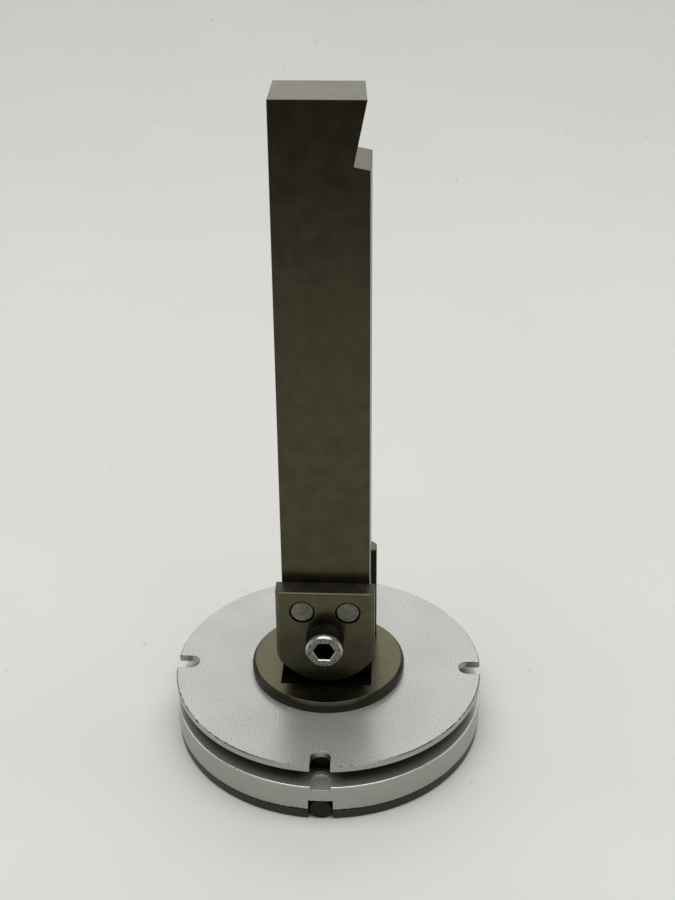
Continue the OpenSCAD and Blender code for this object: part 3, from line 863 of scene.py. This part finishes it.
for side, name in ((-1, "dowel_left"), (1, "dowel_right")):
    dowel = turn(name + "_ground", [
        (dowel_radius - DOWEL_EDGE, 0), (dowel_radius, DOWEL_EDGE),
        (dowel_radius, dowel_length - DOWEL_EDGE - DOWEL_INSET),
        (dowel_radius - DOWEL_EDGE, dowel_length - DOWEL_INSET)], steps=96)
    dowel.matrix_world = (Matrix.Translation((side * dowel_offset, dowel_high.y, dowel_height))
                          @ Matrix.Rotation(math.pi / 2, 4, "X"))
    finish_transform(dowel)
    break_edges(dowel, 0.06 * MM, from_angle=30)
    dowel.data.materials.append(dowel_steel)
    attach(dowel, "turret")
    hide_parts(name)


# ---- Clamp plate ----
# A milled and ground steel plate that presses the bar against the rear jaw. Its lower edge is
# round about the screw, and its front corners are chamfered.
PLATE_RADIUS = screw_height - plate_low.z
PLATE_CORNER = 1 * MM
PLATE_EDGE = 0.38 * MM
DOWEL_FIT = 0.33 * MM
plate_depth = plate_high.y - plate_low.y
plate_middle = (plate_low.y + plate_high.y) / 2
plate = round_tool(PLATE_RADIUS, plate_depth, (0, plate_middle, screw_height),
                   (math.pi / 2, 0, 0), steps=180)
plate.name = "clamp_plate_ground"
cut_flat(plate, (0, 0, screw_height), (0, 0, 1))
bpy.ops.object.mode_set(mode="EDIT")
bpy.ops.mesh.select_mode(type="FACE")
bpy.ops.mesh.select_all(action="DESELECT")
shape = bmesh.from_edit_mesh(plate.data)
for face in shape.faces:
    face.select_set(face.normal.z > 0.99)
bmesh.update_edit_mesh(plate.data)
bpy.ops.mesh.extrude_region_move(
    TRANSFORM_OT_translate={"value": (0, 0, plate_high.z - screw_height)})
bpy.ops.object.mode_set(mode="OBJECT")
cut_flat(plate, (plate_high.x, 0, 0), (1, 0, 0))
cut_flat(plate, (plate_low.x, 0, 0), (-1, 0, 0))
for side in (-1, 1):
    cut_flat(plate, (side * (plate_high.x - PLATE_CORNER), plate_low.y, 0), (side, -1, 0))
bpy.ops.object.mode_set(mode="EDIT")
bpy.ops.mesh.select_all(action="SELECT")
bpy.ops.mesh.dissolve_limited(angle_limit=math.radians(0.5))
bpy.ops.mesh.select_mode(type="EDGE")
bpy.ops.mesh.select_all(action="DESELECT")
shape = bmesh.from_edit_mesh(plate.data)
for edge in shape.edges:
    front = all(abs(v.co.y - plate_low.y) < NEAR for v in edge.verts)
    upright = abs(edge.verts[0].co.x - edge.verts[1].co.x) < NEAR
    edge.select_set(front and not upright)
bmesh.update_edit_mesh(plate.data)
bpy.ops.mesh.bevel(offset=PLATE_EDGE, segments=1, affect="EDGES")
bpy.ops.object.mode_set(mode="OBJECT")
machine(plate, round_tool(SCREW_CLEARANCE, 3 * plate_depth, (0, plate_middle, screw_height),
                          (math.pi / 2, 0, 0)))
for side in (-1, 1):
    machine(plate, round_tool(dowel_radius + DOWEL_FIT, 3 * plate_depth,
                              (side * dowel_offset, plate_middle, dowel_height),
                              (math.pi / 2, 0, 0), steps=96))
break_edges(plate, 0.08 * MM, from_angle=30)

# Milled and ground steel: dark, warm grey, with streaks across the plate. Its top was left as
# milled, which scatters the light and shows streaks from front to back.
plate_steel = ground_steel("tool steel milled ground oiled", "5A5746", "4E4B3B",
                           (0.04, 1, 1), 0.25, 0.34)
plate_top_steel = ground_steel("tool steel saw-cut milled", "5F5C4F", "4E4B40", (1, 0.05, 1),
                               0.42, 0.54)
plate.data.materials.append(plate_steel)
plate.data.materials.append(plate_top_steel)
for face in plate.data.polygons:
    face.material_index = 1 if face.normal.z > 0.9 else 0
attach(plate, "plate")
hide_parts("clamp_plate")


# ---- Clamp screw ----
# An M6 socket head cap screw in grey steel: a knurled head with a turned chamfer, a six-sided
# socket, a plain neck and a rolled thread. It draws the clamp plate to the rear jaw.
HEAD_RADIUS = (screw_high.x - screw_low.x) / 2
HEAD_HEIGHT = plate_low.y - screw_low.y
HEAD_CHAMFER = 0.45 * MM
KNURLS = 60
KNURL_DEPTH = 0.16 * MM
KNURL_UNSHADED = 1.7 * MM                      # the front of the head gets no painted shade
SHANK_RADIUS = 3 * MM
SHANK_LENGTH = screw_high.y - plate_low.y
NECK_LENGTH = 6 * MM
PITCH = 1 * MM
SOCKET_KEY = 5 * MM
SOCKET_DEPTH = 3.3 * MM
SOCKET_CHAMFER = 0.25 * MM
THREAD_TIP = 0.8 * MM
KNURL_LOW, KNURL_HIGH = 0.4 * MM, HEAD_HEIGHT - 0.95 * MM

clamp_screw = turn("clamp_screw_head", [
    (HEAD_RADIUS - 0.25 * MM, 0), (HEAD_RADIUS - 0.05 * MM, 0.2 * MM),
    (HEAD_RADIUS, KNURL_LOW), (HEAD_RADIUS, KNURL_HIGH),
    (HEAD_RADIUS - KNURL_DEPTH, KNURL_HIGH + 0.15 * MM),
    (HEAD_RADIUS - KNURL_DEPTH, HEAD_HEIGHT - HEAD_CHAMFER),
    (HEAD_RADIUS - HEAD_CHAMFER - 0.1 * MM, HEAD_HEIGHT)], steps=2 * KNURLS)
bpy.ops.object.mode_set(mode="EDIT")
bpy.ops.mesh.select_mode(type="VERT")
bpy.ops.mesh.select_all(action="DESELECT")
shape = bmesh.from_edit_mesh(clamp_screw.data)
for corner in shape.verts:
    outer = corner.co.xy.length > HEAD_RADIUS - NEAR
    place_round = math.atan2(corner.co.y, corner.co.x) / math.pi * KNURLS
    corner.select_set(outer and round(place_round) % 2 == 1)
bmesh.update_edit_mesh(clamp_screw.data)
narrow = 1 - KNURL_DEPTH / HEAD_RADIUS
bpy.ops.transform.resize(value=(narrow, narrow, 1), center_override=(0, 0, 0))
bpy.ops.object.mode_set(mode="OBJECT")
machine(clamp_screw, hex_tool(SOCKET_KEY, 2 * SOCKET_DEPTH, (0, 0, HEAD_HEIGHT)))
bpy.ops.object.mode_set(mode="EDIT")
bpy.ops.mesh.select_mode(type="EDGE")
bpy.ops.mesh.select_all(action="DESELECT")
shape = bmesh.from_edit_mesh(clamp_screw.data)
for edge in shape.edges:
    edge.select_set(all(abs(v.co.z - HEAD_HEIGHT) < NEAR and v.co.xy.length < SHANK_RADIUS
                        for v in edge.verts))
bmesh.update_edit_mesh(clamp_screw.data)
bpy.ops.mesh.bevel(offset=SOCKET_CHAMFER, segments=1, affect="EDGES")
bpy.ops.object.mode_set(mode="OBJECT")

shank = turn("shank", [
    (SHANK_RADIUS, 0.2 * MM), (SHANK_RADIUS, -SHANK_LENGTH + THREAD_TIP),
    (SHANK_RADIUS - THREAD_TIP, -SHANK_LENGTH)], steps=96)
bpy.ops.object.select_all(action="DESELECT")
bpy.ops.mesh.primitive_circle_add(vertices=4, radius=0.45 * PITCH,
                                  location=(SHANK_RADIUS, 0, 0), rotation=(math.pi / 2, 0, 0))
groove_tool = bpy.context.object
finish_transform(groove_tool)
wind = groove_tool.modifiers.new("helix", "SCREW")
wind.axis = "Z"
wind.screw_offset = -PITCH
wind.iterations = int((SHANK_LENGTH - NECK_LENGTH) / PITCH) + 1
wind.steps = wind.render_steps = 48
wind.use_smooth_shade = False
bpy.ops.object.modifier_apply(modifier=wind.name)
groove_tool.location = (0, 0, -NECK_LENGTH - PITCH / 2)
finish_transform(groove_tool)
bpy.ops.object.mode_set(mode="EDIT")
bpy.ops.mesh.select_all(action="SELECT")
bpy.ops.mesh.fill_holes(sides=0)
bpy.ops.mesh.select_all(action="SELECT")
bpy.ops.mesh.normals_make_consistent(inside=False)
bpy.ops.object.mode_set(mode="OBJECT")
machine(shank, groove_tool)
machine(clamp_screw, shank, "UNION")
clamp_screw.matrix_world = (Matrix.Translation((0, plate_low.y, screw_height))
                            @ Matrix.Rotation(math.pi / 2, 4, "X"))
finish_transform(clamp_screw)
select_only(clamp_screw)
bpy.ops.object.shade_smooth_by_angle(angle=math.radians(24))

# The knurled side of the head behind its front: the same steel, darker, as painted shade.
knurl_painted_shade_steel = ground_steel("screw steel knurled painted shade", "55534B", "302E28", (1, 1, 1), 0.35, 0.5)

# The chamfers of the head were turned last: the same steel, painted bright as a crisp highlight.
chamfer_painted_highlight_steel, tree = new_material("screw steel turned painted highlight")
surface(tree, {"Metallic": 1, "Roughness": 0.3, "Base Color": srgb("C2C1B9")}, ())
clamp_screw.data.materials.append(screw_steel)
clamp_screw.data.materials.append(knurl_painted_shade_steel)
clamp_screw.data.materials.append(recess_painted_shade)
clamp_screw.data.materials.append(chamfer_painted_highlight_steel)
# Socket faces and the knurled side behind the front take painted shade; the front chamfers take a
# painted highlight.
for face in clamp_screw.data.polygons:
    from_axis = math.hypot(face.center.x, face.center.z - screw_height)
    from_front = face.center.y - screw_low.y
    if 0.3 * MM < from_front < SOCKET_DEPTH + 0.1 * MM and from_axis < SOCKET_KEY * 0.6:
        face.material_index = 2
    elif KNURL_UNSHADED < from_front < HEAD_HEIGHT and from_axis > HEAD_RADIUS - 0.4 * MM:
        face.material_index = 1
    elif 0.02 * MM < from_front < HEAD_CHAMFER:
        face.material_index = 3
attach(clamp_screw, "screw")
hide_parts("clamp_screw")
